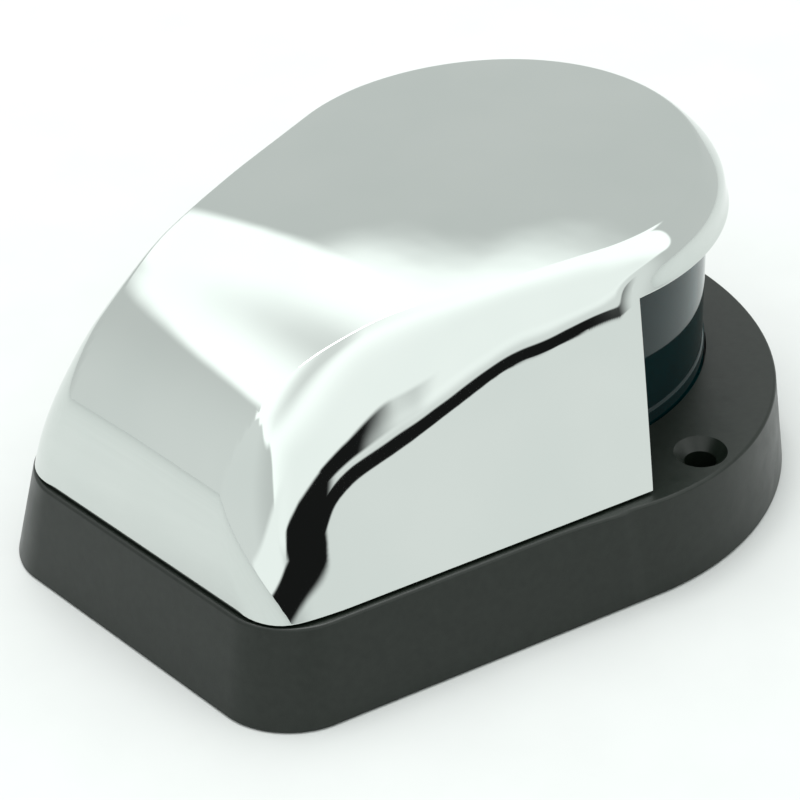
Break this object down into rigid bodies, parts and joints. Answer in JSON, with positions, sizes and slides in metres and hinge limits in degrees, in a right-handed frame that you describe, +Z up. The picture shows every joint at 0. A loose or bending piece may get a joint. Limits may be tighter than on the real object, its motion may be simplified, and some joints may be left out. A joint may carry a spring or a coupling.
{
  "type": "bi-colour bow navigation light",
  "caption": "Deck-mount bow light: chrome hood with a round visor over a half red, half green drum lens, on a drafted black base with two countersunk screw holes.",
  "frame": {"origin": "on the deck under the centre of the base, in its plan bounding box", "axes": "+X towards the bow (the lens side), +Y to port, +Z up from the deck"},
  "size_m": [0.1036, 0.089, 0.0434],
  "materials": {
    "base_plastic": "moulded black plastic, satin",
    "chrome": "mirror chrome plate",
    "lens_green": "dark blue-green transparent plastic, glossy",
    "lens_red": "dark red transparent plastic, glossy",
    "rubber": "moulded black rubber",
    "carrier_plastic": "moulded dark grey plastic",
    "screen_plastic": "black plastic sheet",
    "bulb_glass": "clear lamp glass",
    "brass": "plain brass, lightly tarnished",
    "steel": "plain stainless steel",
    "wire_red": "red wire insulation",
    "wire_black": "black wire insulation"
  },
  "bodies": {
    "root": {"base": "base_plastic", "cover": "chrome", "lens_green": "lens_green", "lens_red": "lens_red", "lens_lower_seal": "rubber", "lens_upper_seal": "rubber", "bulb_carrier": "carrier_plastic", "colour_screen": "screen_plastic", "bulb_glass": "bulb_glass", "bulb_lower_cap": "brass", "bulb_upper_cap": "brass", "bulb_filament": "steel", "lower_contact": "brass", "upper_contact": "brass", "lower_rivet": "steel", "upper_rivet": "steel", "negative_terminal": "brass", "positive_terminal": "brass", "negative_lead": "wire_black", "positive_lead": "wire_red", "lead_grommet": "rubber", "cover_screw_1": "steel", "cover_screw_2": "steel", "cover_screw_3": "steel", "cover_screw_4": "steel", "carrier_screw_1": "steel", "carrier_screw_2": "steel"}
  },
  "joints": []
}
